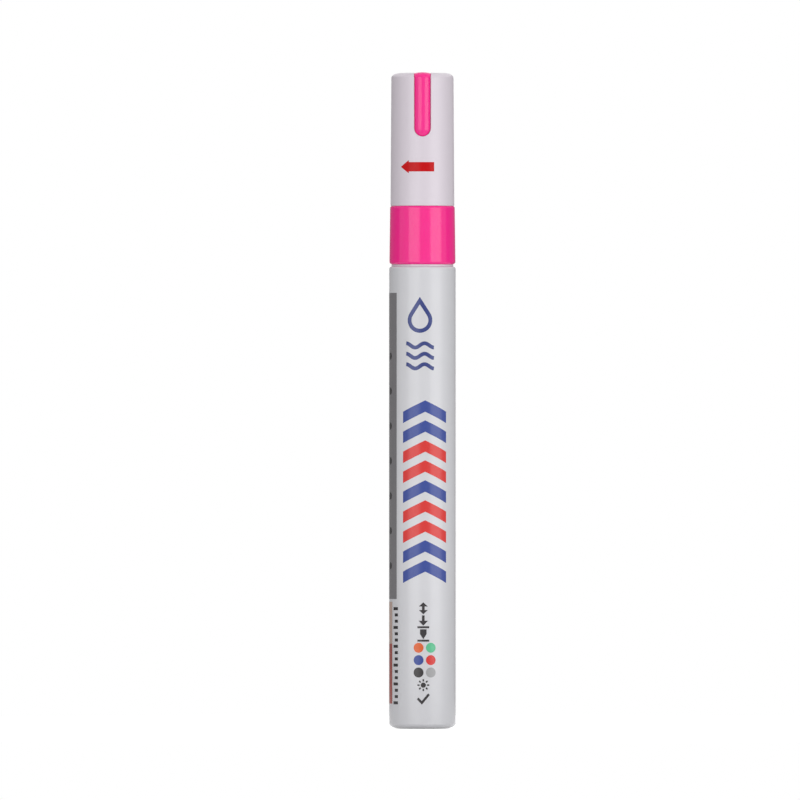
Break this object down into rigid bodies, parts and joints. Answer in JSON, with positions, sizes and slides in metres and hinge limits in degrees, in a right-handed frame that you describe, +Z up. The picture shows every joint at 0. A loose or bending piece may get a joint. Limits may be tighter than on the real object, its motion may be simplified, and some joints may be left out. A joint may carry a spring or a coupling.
{
  "type": "touch-up paint pen",
  "caption": "Slim capped paint pen: metal barrel with a rattling mixing ball, coloured collar, spring valve, bullet nib, and a push-on cap with a coloured tongue.",
  "frame": {"origin": "centre of the barrel's flat base", "axes": "+Z up the pen's axis towards the cap's crown; the cap's tongue and the printed front face -Y; +X to the viewer's right"},
  "size_m": [0.014, 0.014, 0.1381],
  "materials": {
    "white_enamel": "gloss",
    "pink_plastic": "gloss",
    "white_plastic": "satin",
    "natural_plastic": "satin",
    "nib_fibre": "matte",
    "bright_steel": "polished"
  },
  "bodies": {
    "pen": {"barrel": "white_enamel", "collar_ring": "pink_plastic", "valve_body": "white_plastic", "nib_holder": "white_plastic", "valve_seat": "natural_plastic", "spring_cage": "natural_plastic", "valve_spring": "bright_steel"},
    "liner": {"cap_liner": "natural_plastic"},
    "cap": {"cap_shell": "white_plastic", "cap_tongue": "pink_plastic"},
    "nib": {"nib": "nib_fibre", "valve_rod": "natural_plastic"},
    "ball": {"mixing_ball": "bright_steel"}
  },
  "joints": [
    {"name": "cap_pull", "type": "slide", "parent": "pen", "child": "liner", "axis": [0, 0, 1], "range_m": [0, 0.03]},
    {"name": "cap_turn", "type": "hinge", "parent": "liner", "child": "cap", "pos_m": [0, 0, 0.124], "axis": [0, 0, 1], "continuous": true},
    {"name": "nib_press", "type": "slide", "parent": "pen", "child": "nib", "axis": [0, 0, -1], "range_m": [0, 0.0018], "stiffness_N_per_m": 400, "springref_m": -0.003, "deforming": ["valve_spring"]},
    {"name": "ball_travel", "type": "slide", "parent": "pen", "child": "ball", "axis": [0, 0, 1], "range_m": [0, 0.0835]}
  ]
}
